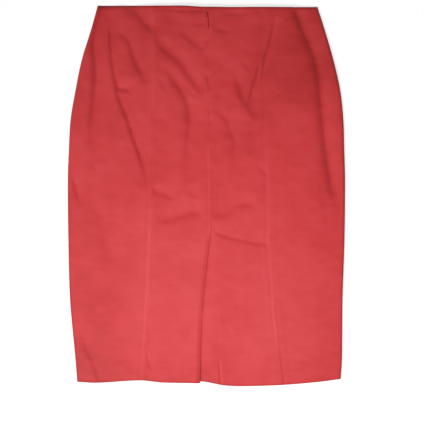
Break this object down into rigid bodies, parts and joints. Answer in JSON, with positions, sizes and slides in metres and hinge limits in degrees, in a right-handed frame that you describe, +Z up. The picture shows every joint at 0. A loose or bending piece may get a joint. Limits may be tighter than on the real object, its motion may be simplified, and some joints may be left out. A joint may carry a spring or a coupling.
{
  "type": "pencil skirt laid flat",
  "caption": "Woven pencil skirt laid flat on its front, with back princess seams, a concealed zip with a hinged pull tab, and a back vent.",
  "frame": {"origin": "middle of the skirt's outline, on the surface it lies on", "axes": "+Y from the hem to the waist, +X to the right as seen from above, +Z up from the surface; the back of the skirt faces +Z"},
  "size_m": [0.4446, 0.6103, 0.0165],
  "materials": {
    "cloth": "fine woven cotton sateen, matt with a soft sheen",
    "zip_tape": "fine ribbed polyester tape and coil",
    "zip_enamel": "satin enamel in the cloth's colour"
  },
  "bodies": {
    "garment": {"front_panel": "cloth", "back_side_left": "cloth", "back_centre_left": "cloth", "back_centre_right": "cloth", "back_side_right": "cloth", "zip_tape_left": "zip_tape", "zip_tape_right": "zip_tape", "zip_coil": "zip_tape", "zip_slider": "zip_enamel"},
    "zip_pull": {"zip_pull_tab": "zip_enamel"}
  },
  "joints": [
    {"name": "zip_pull_flip", "type": "hinge", "parent": "garment", "child": "zip_pull", "pos_m": [0.0002, 0.288, 0.01455], "axis": [-1, 0, 0], "range_deg": [0, 165]}
  ]
}
